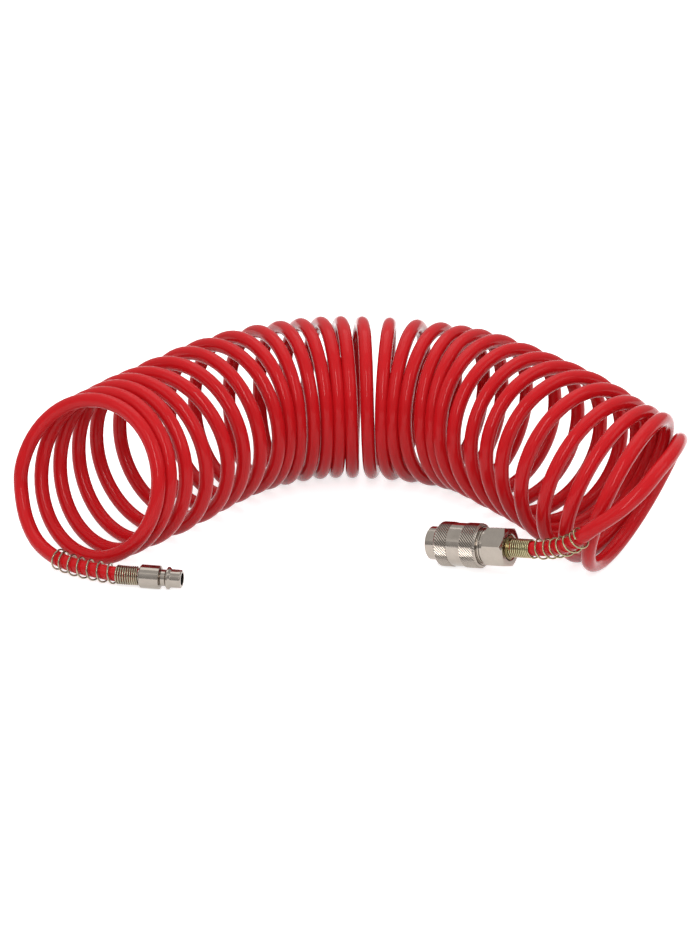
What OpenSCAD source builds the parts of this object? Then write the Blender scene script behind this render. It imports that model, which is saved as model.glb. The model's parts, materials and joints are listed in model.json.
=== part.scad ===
// Coiled air hose: a polyurethane spiral hose lying in an arch, with a male quick plug on one
// end and a female quick coupler on the other. Each end has a wire guard spring.
// Millimetres, +Z up. The origin is on the table, under the middle of the whole hose.

/* [Hose] */
// Outside diameter of the hose tube
hose_od = 8; // [7.2:0.1:8.6]
// Inside diameter of the hose tube
hose_id = 5; // [4.4:0.1:5.6]
// Radius of one turn, measured to the middle of the tube
turn_r = 44; // [38:0.5:48]

/* [Wire guards] */
// Thickness of the guard spring wire
guard_wire = 1.15; // [0.9:0.05:1.3]
// Gap between the hose and the guard's open turns
guard_gap = 0.9; // [0.6:0.05:1.1]
// Turns wound side by side where the guard clamps the hose
guard_close_turns = 10; // [7:1:10]
// Open turns of each guard
guard_open_turns = 7; // [5:1:8]
// Pitch of the open turns
guard_pitch = 6.2; // [4.5:0.1:6.6]

/* [Plug] */
// Diameter of the plug's nose, which seals in a coupler
nose_d = 10; // [9.4:0.1:10]
// Diameter of the ridge that a coupler's balls lock behind
ridge_d = 12.2; // [12:0.1:12.4]
// Diameter of the groove behind the ridge
groove_d = 9; // [8.6:0.1:9.4]
// Diameter of the plug's body
plug_body_d = 12.8; // [12.2:0.1:13.2]
// Length of the plug's body
plug_body_len = 10.8; // [9:0.1:13]
// Wide bore in the front of the plug
plug_bore = 6.8; // [5:0.1:7]
// Bore through the barbed end of the plug and through the hose tail
air_bore = 3.6; // [2.5:0.1:3.8]

/* [Coupler] */
// Outside diameter of the sliding sleeve
sleeve_d = 24.6; // [24:0.1:30]
// Length of the sliding sleeve
sleeve_len = 25.6; // [24:0.1:32]
// How far the sleeve pulls back to let a plug go
sleeve_travel = 3.2; // [2.4:0.1:3.8]
// Diameter of one locking ball
ball_d = 3.4; // [3:0.05:3.6]
// Hexagon of the coupler's rear half, across its flats
hex_af = 20.4; // [20:0.1:26]
// Length of that hexagon
hex_len = 12.7; // [12.2:0.1:18]
// Turn of the hexagon about the coupler's axis, in degrees
hex_turn = 11.5; // [0:0.5:59.5]
// How far a plug pushes the valve open
valve_travel = 2; // [1.6:0.1:2.4]

/* [Fits] */
// Clearance of a piece in the hole that guides it, all round
slide_gap = 0.1; // [0.06:0.01:0.14]
// Gap between faces that seat on each other
seat_gap = 0.02; // [0.01:0.01:0.05]
// Clearance of the balls in their holes, all round
ball_gap = 0.15; // [0.1:0.01:0.2]

/* [Hidden] */

$fn = 48;
plating = "#B9B2A4";
zinc = "#B5A66A";
spring_steel = "#8F8A80";
hose_red = "#C0202B";
seal_black = "#202020";

// ---- the arch that the coil lies in: one value each two turns, from the plug's end ------------
// Middle of the coil in plan
arch = [
    [-143, -58], [-127, -39], [-108, -13], [-86, 23], [-64, 52], [-39, 71], [-17, 80], [5, 81],
    [33, 76], [58, 65], [77, 50], [98, 19], [117, -12], [132, -41], [147, -65.5], [163.5, -87]
];
// Degrees that the turns lean forward along the arch
lean = [18, 10, -1, -2, 0, 0, 0, 0, 1, -1, -2, -1, 1, 15, 21, 21];
// Degrees that they are turned in plan, out of square to the arch
skew = [9, -1, -3, -12, -7, -11, -2, 6, 2, 0, 10, 6, 3, 14, 24.5, 28.5];
turns_a_value = 2;
coil_first = 0;
coil_last = 28.7;
coil_rings = 30;
coil_sides = 24;
hose_r = hose_od / 2;

// ---- the hose's two free ends, from the fitting towards the coil ------------------------------
plug_tip = [-89.2, -100.7, 6.5];
plug_turn = -11;
plug_route = [
    [-138, -87.5, 6.5], [-150, -80, 6.5], [-161, -71, 8], [-171, -59, 12], [-178, -46.5, 21],
    [-181, -38, 34], [-180, -33.5, 46], [-177, -31, 57]
];
coupler_tip = [45.5, -59.9, 11.3];
coupler_turn = -30;
coupler_tilt = 8;
coupler_route = [
    [108.5, -99, 23.5], [117.5, -111, 31], [127.5, -119.5, 42.5], [141.5, -121, 53.5],
    [152.5, -117, 62.5], [161.5, -109, 70.5], [169.5, -97.5, 75.5], [174.5, -84.5, 76.5],
    [178, -68, 74], [179, -52.5, 67.5], [177.5, -42, 57.5], [173.5, -36.5, 45],
    [168, -36, 32.5], [161, -39, 21], [153, -46, 12]
];
lead_sides = 12;
lead_step = 0.5;
clamped_len = 13;
plug_ref = [0, 1, 0];
coupler_ref = [1, 0.5, 0.3];

// ---- the plug, with lengths run back from the tip of its nose ---------------------------------
nose_end = 5.8;
ridge_at = [6.9, 7.8];
groove_at = [8.9, 11.1];
plug_body_at = 12;
plug_face = plug_body_at + plug_body_len;
plug_edge = 0.5;
plug_bore_end = plug_face - 2;
barb_len = 11;
barb_d = hose_id + 0.8;
barb_neck_d = hose_id - 0.2;
barb_count = 3;
barb_pitch = 3;

// ---- the wire guards --------------------------------------------------------------------------
guard_start = 0.5;
guard_close_pitch = guard_wire + 0.05;
guard_close_r = hose_r + 0.25 + guard_wire / 2;
guard_open_r = hose_r + guard_gap + guard_wire / 2;
guard_steps = 16;
wire_sides = 6;

// ---- the coupler, with lengths run back from its front face -----------------------------------
// Outside of the front half
flange_d = 18.4;
flange_len = 5.5;
barrel_d = 16.8;
body_thread_d = 14;
// Snap ring that stops the sleeve
snap_wire = 0.9;
snap_at = flange_len + 0.1 + snap_wire / 2;
snap_d = barrel_d + 0.4;
snap_opening = 30;
// The sleeve's ends
sleeve_at = snap_at + snap_wire / 2 + 0.1;
sleeve_end = sleeve_at + sleeve_len;
// Locking balls, which drop into the plug's groove
ball_at = sleeve_at + 6;
plug_depth = ball_at + (groove_at[0] + groove_at[1]) / 2;
ball_r = ball_d / 2;
ball_reach = nose_d / 2 + 0.2;
ball_lift = ridge_d / 2 + 0.1 - ball_reach;
ball_centre_r = ball_reach + ball_r;
ball_hole_d = ball_d + 2 * ball_gap;
// Socket bores of the body
mouth_d = plug_body_d + 0.6;
mouth_end = plug_depth - plug_body_at + 0.1;
ridge_bore_d = ridge_d + 0.4;
ridge_bore_end = plug_depth - nose_end + 0.1;
socket_d = nose_d + 0.1;
socket_len = 3;
seal_at = ridge_bore_end + socket_len;
seal_len = 2;
seal_section = seal_len - 2 * seat_gap;
seal_groove_d = nose_d + 2 * seal_len;
seat_at = plug_depth + 0.2;
seat_d = 8.4;
seat_len = 1.2;
chamber_at = seat_at + seat_len;
body_thread_at = chamber_at + 1.6;
body_end = sleeve_at + 22;
// Sleeve
sleeve_edge = 1.1;
knurl_front = 7;
knurl_rear = 8.2;
waist_depth = 0.4;
lock_r = ball_centre_r + ball_r + 0.13;
ramp_from = ball_at - sleeve_travel;
guide_at = ball_at + ball_r + 0.1;
guide_d = barrel_d + 2 * slide_gap;
pocket_at = sleeve_at + 12.1;
pocket_d = 21.4;
sleeve_wire = 0.9;
sleeve_spring_turns = 4;
// Rear half with its hexagon
collar_at = body_end + 0.2;
collar_d = pocket_d - 0.6;
neck_d = 19.6;
neck_at = sleeve_end + 0.2;
neck_groove = 0.6;
hex_at = sleeve_end + sleeve_travel + 0.3;
hex_end = hex_at + hex_len;
hex_chamfer = 1.2;
spigot_d = body_thread_d - 2 * seat_gap;
chamber_d = 11.2;
web_len = 3;
thread_depth = 9;
thread_floor = hex_end - thread_depth;
web_at = thread_floor - web_len;
thread_d = 13.2;
thread_mouth = 0.8;
air_hole_d = 2.2;
air_hole_ring = 8.6;
air_holes = 4;
ring_len = 1;
ring_depth = 1;
ring_at = body_thread_at + 0.9;
// Valve
poppet_nose_at = plug_depth - valve_travel;
poppet_nose_d = seat_d - 0.4;
poppet_head_d = 10.4;
poppet_seal_len = 0.8;
poppet_head_at = chamber_at + poppet_seal_len;
poppet_head_len = 1.8;
stem_d = 4.8;
stem_end = thread_floor - 0.2;
nose_slot = 1.8;
valve_wire = 0.7;
valve_spring_d = stem_d + 3;
valve_spring_turns = 4;
// Hose tail
washer_len = 0.8;
tail_at = thread_floor + washer_len + 0.05;
tail_thread_d = thread_d - 2 * seat_gap;
washer_d = thread_d - 0.4;
washer_bore = 8;

// ---- small functions --------------------------------------------------------------------------
function unit(v) = v / norm(v);
function fixed_point(p, i) =
    i < 0 ? 2 * p[0] - p[1] :
    i >= len(p) ? 2 * p[len(p) - 1] - p[len(p) - 2] : p[i];
// A smooth curve through the points p, at u points along it
function along(p, u) =
    let (i = min(max(floor(u), 0), len(p) - 2), f = u - i,
         a = fixed_point(p, i - 1), b = p[i], c = p[i + 1], d = fixed_point(p, i + 2))
    0.5 * (2 * b + (c - a) * f + (2 * a - 5 * b + 4 * c - d) * f * f
        + (3 * b - a - 3 * c + d) * f * f * f);
function direction(p, u) = unit(along(p, u + 0.02) - along(p, u - 0.02));
// A ring of points round the middle c, in the plane of a and b
function ring(c, a, b, r, sides) =
    [for (j = [0:sides - 1]) c + r * (cos(360 * j / sides) * a + sin(360 * j / sides) * b)];
function flat(lists) = [for (l = lists) for (v = l) v];

// A closed tube through rings of points that run right-handed round its way forward
module skin(rings) {
    n = len(rings);
    m = len(rings[0]);
    sides = [for (k = [0:n - 2]) for (j = [0:m - 1]) let (q = (j + 1) % m) each [
        [k * m + j, (k + 1) * m + j, (k + 1) * m + q],
        [k * m + j, (k + 1) * m + q, k * m + q]
    ]];
    front = [for (j = [1:m - 2]) [0, j, j + 1]];
    back = [for (j = [1:m - 2]) [(n - 1) * m, (n - 1) * m + j + 1, (n - 1) * m + j]];
    polyhedron(flat(rings), concat(sides, front, back), convexity = 8);
}

// A wire through the points w, where out[i] points away from the coil's middle
module wire(w, out, d) {
    last = len(w) - 1;
    skin([for (i = [0:last])
        let (t = unit(w[min(i + 1, last)] - w[max(i - 1, 0)]),
             a = unit(out[i] - (out[i] * t) * t))
        ring(w[i], a, cross(t, a), d / 2, wire_sides)]);
}

// A plain spring on the z axis between two heights
module straight_spring(from, to, mean_r, d, turns) {
    steps = turns * guard_steps;
    rise = to - from - d;
    out = [for (i = [0:steps]) [cos(360 * i / guard_steps), sin(360 * i / guard_steps), 0]];
    wire([for (i = [0:steps]) mean_r * out[i] + [0, 0, from + d / 2 + rise * i / steps]], out, d);
}

// ---- the coil ---------------------------------------------------------------------------------
// One ring of the coil's outer shape, at turn t
function coil_ring(t) =
    let (u = t / turns_a_value,
         way = direction(arch, u),
         turned = atan2(way[1], way[0]) + along(skew, u),
         n = [cos(turned), sin(turned), 0],
         up = sin(along(lean, u)) * n + [0, 0, cos(along(lean, u))],
         across = [-n[1], n[0], 0],
         plan = along(arch, u),
         middle = [plan[0], plan[1], turn_r * cos(along(lean, u)) + hose_r])
    ring(middle, across, up, turn_r + hose_r, coil_sides);

module hose_coil() {
    step = (coil_last - coil_first) / coil_rings;
    color(hose_red) skin([for (k = [0:coil_rings]) coil_ring(coil_first + k * step)]);
}

// ---- the free ends ----------------------------------------------------------------------------
function plug_way() = [cos(plug_turn), sin(plug_turn), 0];
function coupler_way() = [
    cos(coupler_tilt) * cos(coupler_turn), cos(coupler_tilt) * sin(coupler_turn),
    sin(coupler_tilt)
];
plug_line = concat(
    [plug_tip - plug_face * plug_way(), plug_tip - (plug_face + clamped_len) * plug_way()],
    plug_route);
coupler_line = concat(
    [coupler_tip + hex_end * coupler_way(), coupler_tip + (hex_end + clamped_len) * coupler_way()],
    coupler_route);

module lead(line, ref, bare) {
    near = [for (u = [0.25, 0.5, 0.75]) u];
    beyond = [for (u = [1:lead_step:len(line) - 1]) u];
    color(hose_red) skin([for (u = concat([bare / clamped_len], near, beyond))
        let (t = direction(line, u), a = unit(cross(ref, t)))
        ring(along(line, u), a, cross(t, a), hose_r, lead_sides)]);
}
module hose_plug_lead() lead(plug_line, plug_ref, guard_start);
module hose_coupler_lead() lead(coupler_line, coupler_ref, guard_start);

// ---- wire guards: close turns that clamp the hose on its barb, then open turns that let it bend
module guard(line, ref) {
    turns = guard_close_turns + guard_open_turns;
    steps = turns * guard_steps;
    function reach(n) = guard_start + guard_wire / 2 + min(n, guard_close_turns) * guard_close_pitch
        + max(0, min(n, turns - 1) - guard_close_turns) * guard_pitch
        + max(0, n - turns + 1) * guard_pitch / 2;
    function radius(n) = n < guard_close_turns ? guard_close_r
        : min(guard_open_r, guard_close_r
            + (n - guard_close_turns) * 2 * (guard_open_r - guard_close_r));
    function spot(n) = reach(n) / clamped_len < 1 ? reach(n) / clamped_len
        : 1 + (reach(n) - clamped_len) / norm(line[2] - line[1]);
    out = [for (i = [0:steps])
        let (n = i / guard_steps, t = direction(line, spot(n)), a = unit(cross(ref, t)))
        cos(360 * n) * a + sin(360 * n) * cross(t, a)];
    wire([for (i = [0:steps])
        along(line, spot(i / guard_steps)) + radius(i / guard_steps) * out[i]],
        out, guard_wire);
}
module plug_guard() color(spring_steel) guard(plug_line, plug_ref);
module coupler_guard() color(zinc) guard(coupler_line, coupler_ref);

// ---- barbed spigot that holds the hose, from z = 0 up -----------------------------------------
module barbs() {
    cylinder(h = barb_len, d = barb_neck_d);
    for (i = [0:barb_count - 1])
        translate([0, 0, barb_len - (i + 1) * barb_pitch])
            cylinder(h = barb_pitch, d1 = barb_d, d2 = barb_neck_d);
}

// ---- the plug ---------------------------------------------------------------------------------
module at_plug() translate(plug_tip) rotate([0, -90, plug_turn]) children();

module plug() color(plating) at_plug() difference() {
    union() {
        rotate_extrude() polygon([
            [0, 0], [nose_d / 2 - plug_edge, 0], [nose_d / 2, plug_edge], [nose_d / 2, nose_end],
            [ridge_d / 2, ridge_at[0]], [ridge_d / 2, ridge_at[1]],
            [groove_d / 2, groove_at[0]], [groove_d / 2, groove_at[1]],
            [plug_body_d / 2, plug_body_at], [plug_body_d / 2, plug_face - plug_edge],
            [plug_body_d / 2 - plug_edge, plug_face], [0, plug_face]
        ]);
        translate([0, 0, plug_face]) barbs();
    }
    translate([0, 0, -1]) cylinder(h = plug_face + barb_len + 2, d = air_bore);
    translate([0, 0, -1]) cylinder(h = plug_bore_end + 1, d = plug_bore);
}

// ---- the coupler ------------------------------------------------------------------------------
module at_coupler() translate(coupler_tip) rotate([0, 90 - coupler_tilt, coupler_turn]) children();

// Front half: the socket that a plug enters, with a hole for each ball
module coupler_body() color(plating) at_coupler() difference() {
    rotate_extrude() polygon([
        [mouth_d / 2 + plug_edge, 0], [flange_d / 2 - plug_edge, 0], [flange_d / 2, plug_edge],
        [flange_d / 2, flange_len], [barrel_d / 2, flange_len], [barrel_d / 2, body_end],
        [body_thread_d / 2, body_end], [body_thread_d / 2, body_thread_at],
        [seal_groove_d / 2 - 1, body_thread_at], [seal_groove_d / 2 - 1, chamber_at],
        [seat_d / 2, chamber_at], [seat_d / 2, seat_at],
        [socket_d / 2, seat_at], [socket_d / 2, seal_at + seal_len],
        [seal_groove_d / 2, seal_at + seal_len], [seal_groove_d / 2, seal_at],
        [socket_d / 2, seal_at], [socket_d / 2, ridge_bore_end],
        [ridge_bore_d / 2, ridge_bore_end], [ridge_bore_d / 2, mouth_end],
        [mouth_d / 2, mouth_end], [mouth_d / 2, plug_edge]
    ]);
    for (i = [0:5])
        rotate([0, 0, 60 * i]) translate([0, 0, ball_at]) rotate([0, 90, 0])
            translate([0, 0, ridge_bore_d / 2 - 1]) cylinder(h = barrel_d / 2, d = ball_hole_d);
    translate([0, 0, snap_at])
        rotate_extrude() translate([snap_d / 2, 0]) circle(d = snap_wire + 2 * seat_gap);
}

module sleeve_stop_ring() color(spring_steel) at_coupler() translate([0, 0, snap_at])
    rotate_extrude(angle = 360 - snap_opening) translate([snap_d / 2, 0]) circle(d = snap_wire);

module locking_ball(i) color(spring_steel) at_coupler()
    rotate([0, 0, 60 * i]) translate([ball_centre_r, 0, ball_at]) sphere(r = ball_r);
module ball_1() locking_ball(0);
module ball_2() locking_ball(1);
module ball_3() locking_ball(2);
module ball_4() locking_ball(3);
module ball_5() locking_ball(4);
module ball_6() locking_ball(5);

// Sliding sleeve: its cone lets the balls out as it is pulled back
module sleeve() color(plating) at_coupler() rotate_extrude() polygon([
    [guide_d / 2, sleeve_at],
    [sleeve_d / 2 - sleeve_edge, sleeve_at],
    [sleeve_d / 2, sleeve_at + sleeve_edge],
    [sleeve_d / 2, sleeve_at + sleeve_edge + knurl_front],
    [sleeve_d / 2 - waist_depth, sleeve_at + sleeve_edge + knurl_front + waist_depth],
    [sleeve_d / 2 - waist_depth, sleeve_end - sleeve_edge - knurl_rear - waist_depth],
    [sleeve_d / 2, sleeve_end - sleeve_edge - knurl_rear],
    [sleeve_d / 2, sleeve_end - sleeve_edge],
    [sleeve_d / 2 - sleeve_edge / 2, sleeve_end],
    [pocket_d / 2, sleeve_end], [pocket_d / 2, pocket_at],
    [guide_d / 2, pocket_at], [guide_d / 2, guide_at],
    [lock_r, guide_at], [lock_r, ball_at],
    [lock_r + ball_lift, ramp_from], [lock_r + ball_lift, ramp_from - ball_r],
    [guide_d / 2, ramp_from - ball_r]
]);

module sleeve_spring() color(spring_steel) at_coupler()
    straight_spring(pocket_at + 0.1, collar_at - 0.1, (barrel_d + pocket_d) / 4, sleeve_wire,
        sleeve_spring_turns);

module plug_seal() color(seal_black) at_coupler() translate([0, 0, seal_at + seal_len / 2])
    rotate_extrude() translate([seal_groove_d / 2 - seat_gap - seal_section / 2, 0])
        circle(d = seal_section);

// Rear half: screws into the body, carries the valve's guide and takes the hose tail
module coupler_adapter() color(plating) at_coupler() difference() {
    union() {
        translate([0, 0, body_thread_at + 0.2])
            cylinder(h = collar_at - body_thread_at, d = spigot_d);
        translate([0, 0, collar_at]) cylinder(h = neck_at - collar_at, d = collar_d);
        translate([0, 0, neck_at - 0.01]) cylinder(h = hex_at - neck_at + 0.02, d = neck_d);
        translate([0, 0, hex_at]) intersection() {
            rotate([0, 0, hex_turn]) cylinder(h = hex_len, d = hex_af / cos(30), $fn = 6);
            rotate_extrude() polygon([
                [0, 0], [hex_af / 2, 0], [hex_af / 2 + 2 * hex_chamfer, hex_chamfer],
                [hex_af / 2 + 2 * hex_chamfer, hex_len - hex_chamfer], [hex_af / 2, hex_len],
                [0, hex_len]
            ]);
        }
    }
    translate([0, 0, (neck_at + hex_at - neck_groove) / 2]) difference() {
        cylinder(h = neck_groove, d = neck_d + 2);
        translate([0, 0, -1]) cylinder(h = neck_groove + 2, d = neck_d - 2 * neck_groove);
    }
    translate([0, 0, body_thread_at]) cylinder(h = web_at - body_thread_at, d = chamber_d);
    translate([0, 0, web_at - 1]) cylinder(h = web_len + 2, d = stem_d + 2 * slide_gap);
    for (i = [0:air_holes - 1])
        rotate([0, 0, 360 * (i + 0.5) / air_holes]) translate([air_hole_ring / 2, 0, web_at - 1])
            cylinder(h = web_len + 2, d = air_hole_d);
    translate([0, 0, thread_floor]) cylinder(h = thread_depth + 1, d = thread_d);
    translate([0, 0, hex_end - thread_mouth])
        cylinder(h = thread_mouth + 0.01, d1 = thread_d, d2 = thread_d + 2 * thread_mouth);
    translate([0, 0, ring_at]) difference() {
        cylinder(h = ring_len + 2 * seat_gap, d = spigot_d + 1);
        translate([0, 0, -1])
            cylinder(h = ring_len + 3, d = body_thread_d - 2 * ring_depth - 2 * seat_gap);
    }
}

module body_seal() color(seal_black) at_coupler()
    translate([0, 0, ring_at + seat_gap]) difference() {
        cylinder(h = ring_len, d = body_thread_d - seat_gap);
        translate([0, 0, -1]) cylinder(h = ring_len + 2, d = body_thread_d - 2 * ring_depth);
    }

// Valve: closes the coupler by itself when no plug is in it
module valve_poppet() color(plating) at_coupler() difference() {
    union() {
        translate([0, 0, poppet_nose_at])
            cylinder(h = poppet_head_at - poppet_nose_at + 0.01, d = poppet_nose_d);
        translate([0, 0, poppet_head_at]) cylinder(h = poppet_head_len, d = poppet_head_d);
        translate([0, 0, poppet_head_at])
            cylinder(h = stem_end - valve_travel - poppet_head_at, d = stem_d);
    }
    translate([0, 0, poppet_nose_at - 1])
        cylinder(h = chamber_at - poppet_nose_at + 1, d = poppet_nose_d - 2);
    for (turn = [0, 90])
        rotate([0, 0, turn]) translate([-poppet_nose_d, -nose_slot / 2, poppet_nose_at - 1])
            cube([2 * poppet_nose_d, nose_slot, chamber_at - poppet_nose_at + 1]);
}

module valve_seal() color(seal_black) at_coupler()
    translate([0, 0, chamber_at + seat_gap]) difference() {
        cylinder(h = poppet_seal_len - 2 * seat_gap, d = poppet_head_d);
        translate([0, 0, -1]) cylinder(h = poppet_seal_len + 2, d = poppet_nose_d + 2 * seat_gap);
    }

module valve_spring() color(spring_steel) at_coupler()
    straight_spring(poppet_head_at + poppet_head_len + 0.1, web_at - 0.1, valve_spring_d / 2,
        valve_wire, valve_spring_turns);

// Hose tail: screws into the rear half against a washer, and its barbs hold the hose
module hose_tail() color(zinc) at_coupler() difference() {
    union() {
        translate([0, 0, tail_at]) cylinder(h = hex_end - thread_mouth - tail_at, d = tail_thread_d);
        translate([0, 0, hex_end - thread_mouth - 0.01])
            cylinder(h = thread_mouth + 0.02, d = 2 * guard_close_r);
        translate([0, 0, hex_end]) barbs();
    }
    translate([0, 0, tail_at - 1]) cylinder(h = hex_end + barb_len - tail_at + 2, d = air_bore);
    translate([0, 0, tail_at - 0.01]) cylinder(h = 2, d1 = washer_bore, d2 = air_bore);
}

module tail_washer() color(seal_black) at_coupler() translate([0, 0, thread_floor + seat_gap])
    difference() {
        cylinder(h = washer_len, d = washer_d);
        translate([0, 0, -1]) cylinder(h = washer_len + 2, d = washer_bore);
    }

hose_coil();
hose_plug_lead();
hose_coupler_lead();
plug();
plug_guard();
coupler_body();
coupler_adapter();
hose_tail();
tail_washer();
coupler_guard();
sleeve();
sleeve_stop_ring();
sleeve_spring();
ball_1();
ball_2();
ball_3();
ball_4();
ball_5();
ball_6();
plug_seal();
body_seal();
valve_poppet();
valve_seal();
valve_spring();
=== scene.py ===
"""Looks of the coiled air hose: the red hose with all its turns, its quick plug, quick coupler
and wire guards, on a white table. Metres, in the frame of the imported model."""

import json
import math

import bmesh
import bpy
import numpy as np
from mathutils import Euler, Matrix, Vector


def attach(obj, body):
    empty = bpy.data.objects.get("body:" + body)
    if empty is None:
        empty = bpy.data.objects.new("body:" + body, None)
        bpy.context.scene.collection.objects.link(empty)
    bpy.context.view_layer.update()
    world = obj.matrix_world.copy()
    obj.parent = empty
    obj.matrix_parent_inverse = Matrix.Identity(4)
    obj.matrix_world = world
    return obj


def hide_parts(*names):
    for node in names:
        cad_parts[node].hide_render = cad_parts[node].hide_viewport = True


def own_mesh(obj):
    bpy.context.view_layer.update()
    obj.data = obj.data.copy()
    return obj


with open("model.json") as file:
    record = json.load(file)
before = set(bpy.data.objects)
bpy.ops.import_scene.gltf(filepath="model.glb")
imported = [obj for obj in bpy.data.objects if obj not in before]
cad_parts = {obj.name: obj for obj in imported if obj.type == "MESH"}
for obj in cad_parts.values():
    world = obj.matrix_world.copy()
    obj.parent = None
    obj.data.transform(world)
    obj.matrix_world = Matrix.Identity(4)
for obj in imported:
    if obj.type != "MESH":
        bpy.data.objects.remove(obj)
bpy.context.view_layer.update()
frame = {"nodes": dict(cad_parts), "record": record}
scene = bpy.context.scene
mm = 0.001
mounts = {m["name"]: m for m in frame["record"]["mounts"]}


# ---- Camera -----------------------------------------------------------------------------------
# A long lens, a metre and a half in front of the hose and looking 20 degrees down at it, so that
# the arch of turns fills the picture from side to side.
look_down = 20
camera_data = bpy.data.cameras.new("camera")
camera_data.sensor_width = 36
camera_data.lens = 108.7
camera = bpy.data.objects.new("camera", camera_data)
camera.location = (0.0005, -1.4967, 0.5784)
camera.rotation_euler = (math.radians(90 - look_down), 0, 0)
scene.collection.objects.link(camera)
scene.camera = camera


# ---- Hose -------------------------------------------------------------------------------------
# One length of extruded polyurethane tube, 8 mm by 5 mm, wound hot on a mandrel so that it keeps
# its turns. It lies on its side in an arch, and both ends run out of the coil to their fittings.
hose_r = 4 * mm
turn_r = 44 * mm

# Middle of the coil in plan, one point each two turns, and how far the turns there lean forward
# and are turned out of square to the arch, in degrees
arch = mm * np.array([
    (-143, -58), (-127, -39), (-108, -13), (-86, 23), (-64, 52), (-39, 71), (-17, 80), (5, 81),
    (33, 76), (58, 65), (77, 50), (98, 19), (117, -12), (132, -41), (147, -65.5), (163.5, -87),
], float)
lean = np.radians([18, 10, -1, -2, 0, 0, 0, 0, 1, -1, -2, -1, 1, 15, 21, 21])
skew = np.radians([9, -1, -3, -12, -7, -11, -2, 6, 2, 0, 10, 6, 3, 14, 24.5, 28.5])
turns_a_point = 2
last_turn = 29
points_a_turn = 20
route_steps = 3

# The free ends, from the fitting towards the coil
plug_route = mm * np.array([
    (-138, -87.5, 6.5), (-150, -80, 6.5), (-161, -71, 8), (-171, -59, 12), (-178, -46.5, 21),
    (-181, -38, 34),
])
coupler_route = mm * np.array([
    (108.5, -99, 23.5), (117.5, -111, 31), (127.5, -119.5, 42.5), (141.5, -121, 53.5),
    (152.5, -117, 62.5), (161.5, -109, 70.5), (169.5, -97.5, 75.5), (174.5, -84.5, 76.5),
    (178, -68, 74), (179, -52.5, 67.5), (177.5, -42, 57.5),
])
clamped = 13 * mm

# How far behind its tip each fitting has its mount and its rear face, in millimetres
plug_mount, plug_end = 3.15, 22.8
socket_mount, hex_end = 18.4, 48.4


def place_of(mount, back):
    """Where a fitting lies: z runs back along it from its tip, back metres in front of the mount."""
    way = -Vector(mounts[mount]["axis"]).normalized()
    tip = Vector(mounts[mount]["pos_m"]) - back * way
    turn = math.atan2(way.y, way.x)
    slope = math.asin(way.z)
    return Matrix.Translation(tip) @ Euler((0, math.pi / 2 - slope, turn)).to_matrix().to_4x4()


def smooth_through(knots, steps):
    """Points on a smooth curve through the knots, steps of them for each gap."""
    ends = np.vstack([2 * knots[0] - knots[1], knots, 2 * knots[-1] - knots[-2]])
    f = (np.arange(steps) / steps)[None, :, None]
    a, b, c, d = (ends[i:len(ends) - 3 + i, None, :] for i in range(4))
    curve = 0.5 * (2 * b + (c - a) * f + (2 * a - 5 * b + 4 * c - d) * f ** 2
                   + (3 * b - a - 3 * c + d) * f ** 3)
    return np.vstack([curve.reshape(-1, knots.shape[1]), knots[-1]])


plug_place = place_of("plug_nose", plug_mount * mm)
coupler_place = place_of("socket", socket_mount * mm)
spots = smooth_through(np.column_stack([arch, lean, skew]), turns_a_point * points_a_turn)
helix = []
for step in range(last_turn * points_a_turn + 1):
    here = spots[step]
    ahead = spots[step + 1] - spots[max(step - 1, 0)]
    heading = math.atan2(ahead[1], ahead[0]) + here[3]
    onward = np.array([math.cos(heading), math.sin(heading), 0])
    across = np.array([-onward[1], onward[0], 0])
    up = math.sin(here[2]) * onward + np.array([0, 0, math.cos(here[2])])
    middle = np.array([here[0], here[1], turn_r * math.cos(here[2]) + hose_r])
    angle = 2 * math.pi * step / points_a_turn
    helix.append(middle + turn_r * (math.cos(angle) * across + math.sin(angle) * up))

plug_line = np.vstack([
    plug_place @ Vector((0, 0, plug_end * mm)),
    plug_place @ Vector((0, 0, plug_end * mm + clamped)), plug_route])
coupler_line = np.vstack([
    coupler_place @ Vector((0, 0, hex_end * mm)),
    coupler_place @ Vector((0, 0, hex_end * mm + clamped)), coupler_route])
route = smooth_through(np.vstack([coupler_line, helix[::-1], plug_line[::-1]]), route_steps)


def node(tree, kind, inputs=None, **settings):
    """Adds a node to a tree. Inputs are by name or number: a value, or another node's output."""
    made = tree.nodes.new(kind)
    for name, value in settings.items():
        setattr(made, name, value)
    for name, value in (inputs or {}).items():
        if isinstance(value, bpy.types.NodeSocket):
            tree.links.new(value, made.inputs[name])
        else:
            made.inputs[name].default_value = value
    return made


def linear(colour):
    """An sRGB hex colour as linear red, green, blue and alpha."""
    parts = [int(colour[i:i + 2], 16) / 255 for i in (1, 3, 5)]
    return [c / 12.92 if c <= 0.04045 else ((c + 0.055) / 1.055) ** 2.4 for c in parts] + [1]


def new_material(name):
    """An empty material with its output, as (material, tree, output)."""
    material = bpy.data.materials.new(name)
    material.use_nodes = True
    tree = material.node_tree
    tree.nodes.clear()
    return material, tree, node(tree, "ShaderNodeOutputMaterial")


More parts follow.
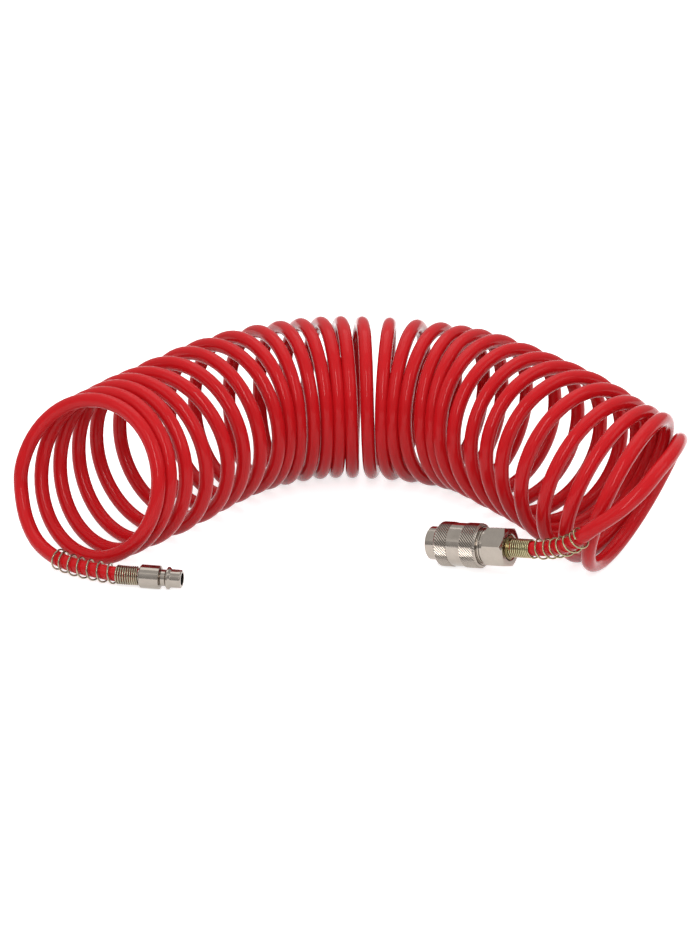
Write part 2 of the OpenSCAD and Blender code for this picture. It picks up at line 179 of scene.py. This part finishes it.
def red_polyurethane():
    """Extruded polyurethane tube: glossy, slightly translucent, with faint lines along it."""
    lines_around, lines_a_metre = 20.0, 12.0
    material, tree, out = new_material("red_polyurethane")
    along = node(tree, "ShaderNodeAttribute", attribute_name="along")
    around = node(tree, "ShaderNodeAttribute", attribute_name="around")
    lines = node(tree, "ShaderNodeCombineXYZ", {
        "X": node(tree, "ShaderNodeMath", {0: around.outputs["Fac"], 1: lines_around},
                  operation="MULTIPLY").outputs[0],
        "Y": node(tree, "ShaderNodeMath", {0: along.outputs["Fac"], 1: lines_a_metre},
                  operation="MULTIPLY").outputs[0]})
    streaks = node(tree, "ShaderNodeTexNoise", {
        "Vector": lines.outputs[0], "Scale": 1.0, "Detail": 2.0})
    spot = node(tree, "ShaderNodeTexCoord")
    clouds = node(tree, "ShaderNodeTexNoise", {
        "Vector": spot.outputs["Object"], "Scale": 45.0, "Detail": 3.0})
    tint = node(tree, "ShaderNodeMix", {
        "Factor": clouds.outputs["Fac"], "A": linear("#B9151A"), "B": linear("#C4191F")},
        data_type="RGBA")
    sheen = node(tree, "ShaderNodeMapRange", {
        "Value": streaks.outputs["Fac"], "From Min": 0.3, "From Max": 0.7,
        "To Min": 0.1, "To Max": 0.14})
    ripple = node(tree, "ShaderNodeBump", {
        "Height": streaks.outputs["Fac"], "Strength": 0.25, "Distance": 0.02 * mm})
    skin = node(tree, "ShaderNodeBsdfPrincipled", {
        "Base Color": tint.outputs["Result"], "Roughness": sheen.outputs["Result"],
        "Normal": ripple.outputs["Normal"], "Specular IOR Level": 0.15, "Subsurface Weight": 0.08,
        "Subsurface Radius": (2 * mm, 0.4 * mm, 0.3 * mm), "Subsurface Scale": 1.0})
    tree.links.new(skin.outputs["BSDF"], out.inputs["Surface"])
    return material


def node_tree(name, inputs):
    """An empty geometry tree with named inputs, as (tree, the inputs' sockets by name, output)."""
    tree = bpy.data.node_groups.new(name, "GeometryNodeTree")
    tree.interface.new_socket("Geometry", in_out="OUTPUT", socket_type="NodeSocketGeometry")
    tree.interface.new_socket("Geometry", in_out="INPUT", socket_type="NodeSocketGeometry")
    for label, kind in inputs.items():
        tree.interface.new_socket(label, in_out="INPUT", socket_type=kind)
    start = node(tree, "NodeGroupInput")
    return tree, start.outputs, node(tree, "NodeGroupOutput")


def grown(name, line, tree, values):
    """The plain mesh that a geometry tree makes along a line of points."""
    curve = bpy.data.curves.new(name, "CURVE")
    curve.dimensions = "3D"
    spline = curve.splines.new("POLY")
    spline.points.add(len(line) - 1)
    spline.points.foreach_set("co", np.column_stack([line, np.ones(len(line))]).ravel())
    carrier = bpy.data.objects.new(name + "_line", curve)
    scene.collection.objects.link(carrier)
    modifier = carrier.modifiers.new("shape", "NODES")
    modifier.node_group = tree
    for socket in tree.interface.items_tree:
        if socket.in_out == "INPUT" and socket.name in values:
            modifier[socket.identifier] = values[socket.name]
    bpy.context.view_layer.update()
    shown = carrier.evaluated_get(bpy.context.evaluated_depsgraph_get())
    mesh = bpy.data.meshes.new_from_object(shown)
    mesh.name = name
    bpy.data.objects.remove(carrier)
    piece = bpy.data.objects.new(name, mesh)
    scene.collection.objects.link(piece)
    return piece


def tube_tree():
    """A tube along a line, with attributes for how far along and around it each point lies."""
    tree, given, out = node_tree("tube along a line", {
        "Radius": "NodeSocketFloat", "Sides": "NodeSocketInt", "Material": "NodeSocketMaterial"})
    length = node(tree, "GeometryNodeSplineParameter").outputs["Length"]
    part = node(tree, "GeometryNodeSplineParameter").outputs["Factor"]
    line = node(tree, "GeometryNodeStoreNamedAttribute", {
        "Geometry": given["Geometry"], "Name": "along", "Value": length})
    circle = node(tree, "GeometryNodeCurvePrimitiveCircle", {
        "Radius": given["Radius"], "Resolution": given["Sides"]})
    ring = node(tree, "GeometryNodeStoreNamedAttribute", {
        "Geometry": circle.outputs["Curve"], "Name": "around", "Value": part})
    tube = node(tree, "GeometryNodeCurveToMesh", {
        "Curve": line.outputs[0], "Profile Curve": ring.outputs[0], "Fill Caps": True})
    smooth = node(tree, "GeometryNodeSetShadeSmooth", {"Geometry": tube.outputs[0]})
    solid = node(tree, "GeometryNodeRealizeInstances", {"Geometry": smooth.outputs[0]})
    dressed = node(tree, "GeometryNodeSetMaterial", {
        "Geometry": solid.outputs[0], "Material": given["Material"]})
    tree.links.new(dressed.outputs[0], out.inputs[0])
    return tree


hose = grown("hose", route, tube_tree(), {
    "Radius": hose_r, "Sides": 44, "Material": red_polyurethane()})
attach(hose, "hose")
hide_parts("hose_coil", "hose_plug_lead", "hose_coupler_lead")


# ---- Wire guards ------------------------------------------------------------------------------
# A wire spring on each end of the hose: ten turns wound side by side clamp the tube on its
# barbs, and seven open turns keep it from kinking. The coupler's is zinc plated and yellow
# passivated, and the plug's is plain zinc.
wire = 1.0 * mm
close_pitch = 1.2 * mm
close_r = hose_r + 0.25 * mm + wire / 2
open_r = hose_r + 0.9 * mm + wire / 2
open_pitch = 6.2 * mm
last_pitch_share = 0.5
widening_turns = 0.5
guard_start = 0.5 * mm
guard_steps = 12
wire_sides = 10


def guard_tree():
    """A wire that winds round a line: close turns, then open ones, the last of a lower pitch."""
    tree, given, out = node_tree("wire guard", {
        "Wire": "NodeSocketFloat", "Start": "NodeSocketFloat",
        "Close turns": "NodeSocketInt", "Close pitch": "NodeSocketFloat",
        "Close radius": "NodeSocketFloat", "Open turns": "NodeSocketInt",
        "Open pitch": "NodeSocketFloat", "Open radius": "NodeSocketFloat",
        "Steps a turn": "NodeSocketInt", "Material": "NodeSocketMaterial"})

    def maths(operation, *values):
        return node(tree, "ShaderNodeMath", dict(enumerate(values)), operation=operation).outputs[0]

    close, steps = given["Close turns"], given["Steps a turn"]
    turns = maths("ADD", close, given["Open turns"])
    count = maths("ADD", maths("MULTIPLY", turns, steps), 1.0)
    stick = node(tree, "GeometryNodeCurvePrimitiveLine")
    line = node(tree, "GeometryNodeResampleCurve", {"Curve": stick.outputs[0], "Count": count})
    turn = maths("DIVIDE", node(tree, "GeometryNodeInputIndex").outputs[0], steps)
    before_last = maths("SUBTRACT", turns, 1.0)
    closed = maths("MULTIPLY", maths("MINIMUM", turn, close), given["Close pitch"])
    opened = maths("SUBTRACT", maths("MINIMUM", turn, before_last), close)
    last = maths("MULTIPLY", maths("MAXIMUM", maths("SUBTRACT", turn, before_last), 0.0),
                 last_pitch_share)
    loose = maths("ADD", maths("MAXIMUM", opened, 0.0), last)
    reach = maths("ADD", maths("ADD", given["Start"], closed),
                  maths("MULTIPLY", loose, given["Open pitch"]))
    at = node(tree, "GeometryNodeSampleCurve", {"Curves": given["Geometry"], "Length": reach},
              mode="LENGTH")
    radius = node(tree, "ShaderNodeMapRange", {
        "Value": turn, "From Min": close, "From Max": maths("ADD", close, widening_turns),
        "To Min": given["Close radius"], "To Max": given["Open radius"]})
    outward = node(tree, "ShaderNodeVectorRotate", {
        "Vector": at.outputs["Normal"], "Axis": at.outputs["Tangent"],
        "Angle": maths("MULTIPLY", turn, 2 * math.pi)})
    away = node(tree, "ShaderNodeVectorMath", {
        0: outward.outputs[0], "Scale": radius.outputs["Result"]}, operation="SCALE")
    spot = node(tree, "ShaderNodeVectorMath", {
        0: at.outputs["Position"], 1: away.outputs[0]}, operation="ADD")
    wound = node(tree, "GeometryNodeSetPosition", {
        "Geometry": line.outputs[0], "Position": spot.outputs[0]})
    section = node(tree, "GeometryNodeCurvePrimitiveCircle", {
        "Radius": maths("MULTIPLY", given["Wire"], 0.5), "Resolution": wire_sides})
    rod = node(tree, "GeometryNodeCurveToMesh", {
        "Curve": wound.outputs[0], "Profile Curve": section.outputs["Curve"], "Fill Caps": True})
    smooth = node(tree, "GeometryNodeSetShadeSmooth", {"Geometry": rod.outputs[0]})
    solid = node(tree, "GeometryNodeRealizeInstances", {"Geometry": smooth.outputs[0]})
    dressed = node(tree, "GeometryNodeSetMaterial", {
        "Geometry": solid.outputs[0], "Material": given["Material"]})
    tree.links.new(dressed.outputs[0], out.inputs[0])
    return tree


def plated_wire(name, colours, roughness):
    """Drawn spring wire with a thin plating, whose tint drifts along it."""
    first_at, last_at = 0.3, 0.7
    material, tree, out = new_material(name)
    spot = node(tree, "ShaderNodeTexCoord")
    drift = node(tree, "ShaderNodeTexNoise", {
        "Vector": spot.outputs["Object"], "Scale": 160.0, "Detail": 2.0})
    tint = node(tree, "ShaderNodeValToRGB", {"Fac": drift.outputs["Fac"]})
    ramp = tint.color_ramp
    ramp.elements[0].position, ramp.elements[0].color = first_at, linear(colours[0])
    ramp.elements[1].position, ramp.elements[1].color = last_at, linear(colours[-1])
    for i, colour in enumerate(colours[1:-1]):
        at = first_at + (last_at - first_at) * (i + 1) / (len(colours) - 1)
        ramp.elements.new(at).color = linear(colour)
    coat = node(tree, "ShaderNodeBsdfPrincipled", {
        "Base Color": tint.outputs["Color"], "Metallic": 1.0, "Roughness": roughness})
    tree.links.new(coat.outputs["BSDF"], out.inputs["Surface"])
    return material


yellow_zinc = plated_wire("yellow_passivated_zinc", ("#8E8766", "#A9A17E", "#9C8E6E"), 0.2)
clear_zinc = plated_wire("clear_zinc_wire", ("#857B6A", "#A29781"), 0.2)
winding = guard_tree()
guard_values = {
    "Wire": wire, "Start": guard_start + wire / 2, "Close turns": 10, "Close pitch": close_pitch,
    "Close radius": close_r, "Open turns": 7, "Open pitch": open_pitch, "Open radius": open_r,
    "Steps a turn": 32}
for name, line, material, slot in (
        ("plug_guard", plug_line, clear_zinc, "spring_steel"),
        ("coupler_guard", coupler_line, yellow_zinc, "zinc")):
    guard = grown(name + "_wire", smooth_through(line, guard_steps), winding,
                  dict(guard_values, Material=material))
    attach(guard, "hose")
    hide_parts(name)


# ---- Plug -------------------------------------------------------------------------------------
# A male quick plug turned from brass bar and nickel plated. Its nose seals in a coupler, whose
# balls lock in the groove behind the ridge.
# The colour of the painted shade laid into the knurl's grooves
groove_shade_tint = "#3B342E"
sharp = math.radians(25)


def turned_nickel(name, place, tints):
    """Bright nickel on turned brass: a warm mirror, with fine rings left by the lathe, and painted
    shade in a knurl's grooves, a darker colour where the groove attribute marks them."""
    ring_scale = (40.0, 40.0, 4000.0)
    material, tree, out = new_material(name)
    spot = node(tree, "ShaderNodeTexCoord")
    local = node(tree, "ShaderNodeMapping", {
        "Vector": spot.outputs["Object"], "Location": place.translation,
        "Rotation": place.to_euler()}, vector_type="TEXTURE")
    flat = node(tree, "ShaderNodeVectorMath", {
        0: local.outputs[0], 1: ring_scale}, operation="MULTIPLY")
    rings = node(tree, "ShaderNodeTexNoise", {"Vector": flat.outputs[0], "Scale": 1.0})
    clouds = node(tree, "ShaderNodeTexNoise", {
        "Vector": local.outputs[0], "Scale": 220.0, "Detail": 3.0})
    tint = node(tree, "ShaderNodeMix", {
        "Factor": clouds.outputs["Fac"], "A": linear(tints[0]), "B": linear(tints[1])},
        data_type="RGBA")
    groove = node(tree, "ShaderNodeAttribute", attribute_name="groove")
    shaded = node(tree, "ShaderNodeMix", {
        "Factor": groove.outputs["Fac"], "A": tint.outputs["Result"], "B": linear(groove_shade_tint)},
        data_type="RGBA")
    gloss = node(tree, "ShaderNodeMapRange", {
        "Value": clouds.outputs["Fac"], "From Min": 0.3, "From Max": 0.7,
        "To Min": 0.1, "To Max": 0.2})
    marks = node(tree, "ShaderNodeBump", {
        "Height": rings.outputs["Fac"], "Strength": 0.2, "Distance": 0.01 * mm})
    coat = node(tree, "ShaderNodeBsdfPrincipled", {
        "Base Color": shaded.outputs["Result"], "Metallic": 1.0,
        "Roughness": gloss.outputs["Result"], "Normal": marks.outputs["Normal"]})
    tree.links.new(coat.outputs["BSDF"], out.inputs["Surface"])
    return material


def turned(name, outline, place, material, edge=0.15 * mm, sides=96):
    """A ring-shaped solid from a closed outline of (radius, z) or (radius, z, twist). Radius and z
    are a number or one for each side. Its sharp edges get a small round."""
    angles = 2 * math.pi * np.arange(sides) / sides
    mesh = bpy.data.meshes.new(name)
    points = []
    for radius, z, *twist in outline:
        turn = angles + (twist[0] if twist else 0)
        r, h = np.broadcast_to(radius, sides), np.broadcast_to(z, sides)
        points.append(np.column_stack([r * np.cos(turn), r * np.sin(turn), h]))
    points = np.vstack(points)
    count = len(outline)
    faces = []
    for k in range(count):
        for j in range(sides):
            a, b = k * sides + j, k * sides + (j + 1) % sides
            c, d = (k + 1) % count * sides + (j + 1) % sides, (k + 1) % count * sides + j
            faces.append((a, b, c, d))
    mesh.from_pydata([tuple(p) for p in points], [], faces)
    mesh.transform(place)
    build = bmesh.new()
    build.from_mesh(mesh)
    bmesh.ops.recalc_face_normals(build, faces=build.faces)
    build.to_mesh(mesh)
    build.free()
    piece = bpy.data.objects.new(name, mesh)
    scene.collection.objects.link(piece)
    mesh.materials.append(material)
    mesh.polygons.foreach_set("use_smooth", [True] * len(mesh.polygons))
    mesh.set_sharp_from_angle(angle=sharp)
    if edge:
        rounding = piece.modifiers.new("edges", "BEVEL")
        rounding.width = edge
        rounding.segments = 2
        rounding.limit_method = "ANGLE"
        rounding.angle_limit = sharp
        rounding.harden_normals = True
    return piece


# Outlines from here on are in millimetres. Both barbs have the same bore and outside, and so have
# the thin skirts that reach under the guards.
plug_bore, plug_bore_end = 3.4, 20.8
barb_bore, barb_r = 1.8, 2.4
skirt_bore, skirt_r = 4.05, 4.2
plug_skirt_end, plug_barb_end = 23.9, 33.8
# The plug's nickel has darker tints than the coupler's: painted shade for the coil's shadow on the
# plug.
plug = turned("plug_turned", mm * np.array([
    (plug_bore, 0), (4.5, 0), (5, 0.5), (5, 5.8), (6.1, 6.9), (6.1, 7.8), (4.5, 8.9),
    (4.5, 11.1), (6.4, 12), (6.4, 22.3), (5.9, plug_end), (skirt_r, plug_end),
    (skirt_r, plug_skirt_end), (skirt_bore, plug_skirt_end), (skirt_bore, plug_end),
    (barb_r, plug_end), (barb_r, plug_barb_end), (barb_bore, plug_barb_end),
    (barb_bore, plug_bore_end), (plug_bore, plug_bore_end)]),
    plug_place, turned_nickel("turned_nickel_plug_shaded", plug_place, ("#938B82", "#A39A91")))
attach(plug, "hose")
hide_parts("plug")


# ---- Sleeve -----------------------------------------------------------------------------------
# The coupler's sliding sleeve, turned from brass and nickel plated, with two bands of diagonal
# knurling for the fingers and a plain waist between them.
nickel = turned_nickel("turned_nickel_coupler", coupler_place, ("#9C938A", "#ACA399"))
sleeve_r = 12.3
sleeve_at, sleeve_end = 6.6, 32.2
sleeve_edge = 1.1
knurl_front, knurl_rear = 7.0, 8.2
waist = 0.4
ridges = 50
knurl_depth = 0.3
knurl_profile = np.tile([0, 0, 0.6, 1, 1, 0.6], ridges)
band_rings, waist_rings = 9, 6
knurled_if_over = 0.2
# How strongly the painted shade darkens the knurl's grooves
groove_shade_share = 0.6


def knurled(z, r):
    """One ring of the sleeve's outside: the knurl's grooves, where the outline stands above them.
    The knurl runs at 45 degrees, so each ring is turned by its distance along the sleeve."""
    radius = np.minimum(r, sleeve_r - knurl_depth * knurl_profile)
    return mm * radius, mm * z, (z - sleeve_at) / sleeve_r


front_from, rear_from = sleeve_at + sleeve_edge, sleeve_end - sleeve_edge - knurl_rear
waist_from, waist_to = front_from + knurl_front, rear_from
outside = (
    [knurled(sleeve_at, sleeve_r - sleeve_edge)]
    + [knurled(z, sleeve_r) for z in np.linspace(front_from, waist_from, band_rings)]
    + [knurled(waist_from + 0.1, sleeve_r - waist)]
    + [knurled(z, sleeve_r - waist)
       for z in np.linspace(waist_from + 1, waist_to - 1, waist_rings)]
    + [knurled(waist_to - 0.1, sleeve_r - waist)]
    + [knurled(z, sleeve_r) for z in np.linspace(rear_from, rear_from + knurl_rear, band_rings)]
    + [knurled(sleeve_end - 0.25, sleeve_r - 0.9), knurled(sleeve_end, sleeve_r - 1.2)])
inside = [knurled(z, r) for r, z in (
    (10.7, sleeve_end), (10.7, 18.7), (8.5, 18.7), (8.5, 14.4), (8.73, 14.4), (8.73, 12.6),
    (9.73, 9.4), (9.73, 7.7), (8.5, 7.7), (8.5, sleeve_at))]
sleeve = turned("sleeve_knurled", outside + inside, coupler_place, nickel, edge=0,
                sides=len(knurl_profile))
# Painted shade darkens the grooves of the knurled rings, those whose radius varies by more than a
# little
depth = [(sleeve_r - radius / mm) / knurl_depth * (np.ptp(radius) > knurled_if_over * mm)
         for radius, z, twist in outside]
groove_shade = np.zeros(len(sleeve.data.vertices))
groove_shade[:len(outside) * len(knurl_profile)] = groove_shade_share * np.concatenate(depth)
groove = sleeve.data.attributes.new("groove", "FLOAT", "POINT")
groove.data.foreach_set("value", groove_shade)
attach(sleeve, "sleeve")
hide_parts("sleeve")


# ---- Rear half --------------------------------------------------------------------------------
# The coupler's rear half: a grooved neck and a hexagon for the spanner, chamfered at both ends.
# Its rear face is cut clean and mirrors the hose.
hex_at = 35.7
hex_half = 10.2
hex_turn = math.radians(11.5)
hex_sides = 144
hex_angles = 2 * math.pi * np.arange(hex_sides) / hex_sides
hex_r = hex_half / np.cos(hex_angles % (math.pi / 3) - math.pi / 6)
hex_face_r = 9.9
hex_chamfer = math.radians(30)
hex_rise = (hex_r - hex_face_r) * math.tan(hex_chamfer)
rear_half = turned("coupler_rear_half", [(mm * r, mm * z, hex_turn) for r, z in (
    (5.6, 25.8), (6.98, 25.8), (6.98, 28.8), (10.4, 28.8), (10.4, 32.4), (9.8, 32.4),
    (9.8, 33.6), (9.2, 33.8), (9.2, 34.3), (9.8, 34.5), (9.8, hex_at), (hex_face_r, hex_at),
    (hex_r, hex_at + hex_rise), (hex_r, hex_end - hex_rise), (hex_face_r, hex_end),
    (7.4, hex_end), (6.6, 47.6), (6.6, 39.4), (2.5, 39.4), (2.5, 36.4), (5.6, 36.4))],
    coupler_place, nickel, edge=0.12 * mm, sides=hex_sides)
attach(rear_half, "hose")
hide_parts("coupler_adapter")


# ---- Hose tail --------------------------------------------------------------------------------
# A yellow passivated tail screwed into the hexagon, with a low collar round the hose and a barb
# inside it.
tail_at, collar_end = 40.25, 48.88
tail_skirt_end, tail_barb_end = 49.5, 59.4
tail = turned("hose_tail_turned", mm * np.array([
    (barb_bore, tail_at), (6.5, tail_at), (6.5, hex_end), (5.4, hex_end), (5.4, collar_end),
    (skirt_r, collar_end), (skirt_r, tail_skirt_end), (skirt_bore, tail_skirt_end),
    (skirt_bore, hex_end), (barb_r, hex_end), (barb_r, tail_barb_end),
    (barb_bore, tail_barb_end)]),
    coupler_place, yellow_zinc, edge=0.08 * mm)
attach(tail, "hose")
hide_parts("hose_tail")


def finish_node(name, material):
    """Gives a CAD node its finish."""
    frame["nodes"][name].data.materials.clear()
    frame["nodes"][name].data.materials.append(material)


def hardened_steel():
    """Ground and polished bearing steel."""
    material, tree, out = new_material("hardened_steel")
    spot = node(tree, "ShaderNodeTexCoord")
    haze = node(tree, "ShaderNodeTexNoise", {"Vector": spot.outputs["Object"], "Scale": 900.0})
    gloss = node(tree, "ShaderNodeMapRange", {
        "Value": haze.outputs["Fac"], "To Min": 0.08, "To Max": 0.2})
    coat = node(tree, "ShaderNodeBsdfPrincipled", {
        "Base Color": linear("#B8B6B2"), "Metallic": 1.0, "Roughness": gloss.outputs["Result"]})
    tree.links.new(coat.outputs["BSDF"], out.inputs["Surface"])
    return material


def nitrile_rubber():
    """Moulded nitrile rubber: black and matt."""
    material, tree, out = new_material("nitrile_rubber")
    spot = node(tree, "ShaderNodeTexCoord")
    grain = node(tree, "ShaderNodeTexNoise", {"Vector": spot.outputs["Object"], "Scale": 2500.0})
    bump = node(tree, "ShaderNodeBump", {
        "Height": grain.outputs["Fac"], "Strength": 0.3, "Distance": 0.02 * mm})
    coat = node(tree, "ShaderNodeBsdfPrincipled", {
        "Base Color": linear("#1C1C1D"), "Roughness": 0.6, "Normal": bump.outputs["Normal"]})
    tree.links.new(coat.outputs["BSDF"], out.inputs["Surface"])
    return material


steel, rubber = hardened_steel(), nitrile_rubber()
for name in ("coupler_body", "valve_poppet"):
    finish_node(name, nickel)
finish_node("sleeve_stop_ring", clear_zinc)
for number in range(1, 7):
    finish_node(f"ball_{number}", steel)
for name in ("plug_seal", "body_seal", "valve_seal", "tail_washer"):
    finish_node(name, rubber)


def return_spring(name, body):
    """A return spring, which moves with the body it is attached to. Its mesh is a welded
    copy of the CAD node's."""
    mesh = frame["nodes"][name].data.copy()
    build = bmesh.new()
    build.from_mesh(mesh)
    bmesh.ops.remove_doubles(build, verts=build.verts, dist=0.001 * mm)
    build.to_mesh(mesh)
    build.free()
    mesh.materials.clear()
    mesh.materials.append(clear_zinc)
    spring = bpy.data.objects.new(name + "_wound", mesh)
    scene.collection.objects.link(spring)
    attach(spring, body)
    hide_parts(name)
    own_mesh(spring)


return_spring("sleeve_spring", "sleeve_turning")
return_spring("valve_spring", "hose")


# ---- Table and light --------------------------------------------------------------------------
# A white table that runs on behind as a white sweep, in the even light of a white tent, whose
# walls are brighter towards the top.
def white_sweep():
    """White card that shows as pure white, but for the soft shadow under the hose."""
    own_glow = 0.75
    material, tree, out = new_material("white_sweep")
    ray = node(tree, "ShaderNodeLightPath")
    seen = node(tree, "ShaderNodeMath", {
        0: ray.outputs["Is Camera Ray"], 1: ray.outputs["Is Glossy Ray"]}, operation="MAXIMUM")
    glow = node(tree, "ShaderNodeMath", {0: seen.outputs[0], 1: own_glow}, operation="MULTIPLY")
    card = node(tree, "ShaderNodeBsdfPrincipled", {
        "Base Color": linear("#DEDEDE"), "Roughness": 0.9, "Specular IOR Level": 0.0,
        "Emission Color": (1, 1, 1, 1), "Emission Strength": glow.outputs[0]})
    tree.links.new(card.outputs["BSDF"], out.inputs["Surface"])
    return material


floor_mesh = bpy.data.meshes.new("floor")
reach = 6.0
floor_mesh.from_pydata(
    [(-reach, -reach, 0), (reach, -reach, 0), (reach, reach, 0), (-reach, reach, 0)], [],
    [(0, 1, 2, 3)])
floor_mesh.materials.append(white_sweep())
floor = bpy.data.objects.new("floor", floor_mesh)
scene.collection.objects.link(floor)

world = bpy.data.worlds.new("tent")
scene.world = world
world.use_nodes = True
sky = world.node_tree
sky.nodes.clear()
ray = node(sky, "ShaderNodeLightPath")
way = node(sky, "ShaderNodeTexCoord")
split = node(sky, "ShaderNodeSeparateXYZ", {"Vector": way.outputs["Generated"]})
level = node(sky, "ShaderNodeMapRange", {
    "Value": split.outputs["Z"], "From Min": -0.2, "From Max": 0.9, "To Min": 0.4, "To Max": 0.85})
strength = node(sky, "ShaderNodeMath", {
    0: ray.outputs["Is Camera Ray"], 1: level.outputs["Result"]}, operation="MAXIMUM")
light = node(sky, "ShaderNodeBackground", {"Color": (1, 1, 1, 1), "Strength": strength.outputs[0]})
node(sky, "ShaderNodeOutputWorld", {"Surface": light.outputs[0]})

# A tall strip light in front draws a thin streak along each turn, and three dim panels light the
# tent's sides and top. Sizes are in metres and powers in watts.
for name, place, width, height, power in (
        ("strip", (-0.1, -1.5, 1.25), 0.3, 1.3, 12), ("tent_left", (-1.1, -0.9, 1.1), 0.8, 0.8, 1.5),
        ("tent_right", (1.3, -0.5, 1.0), 0.7, 0.7, 2), ("tent_top", (0.0, 0.5, 1.5), 1.2, 1.2, 5)):
    lamp_data = bpy.data.lights.new(name, "AREA")
    lamp_data.shape = "RECTANGLE"
    lamp_data.size = width
    lamp_data.size_y = height
    lamp_data.energy = power
    lamp = bpy.data.objects.new(name, lamp_data)
    lamp.location = place
    lamp.rotation_euler = (-Vector(place)).to_track_quat("-Z", "Y").to_euler()
    scene.collection.objects.link(lamp)

scene.view_settings.view_transform = "Standard"
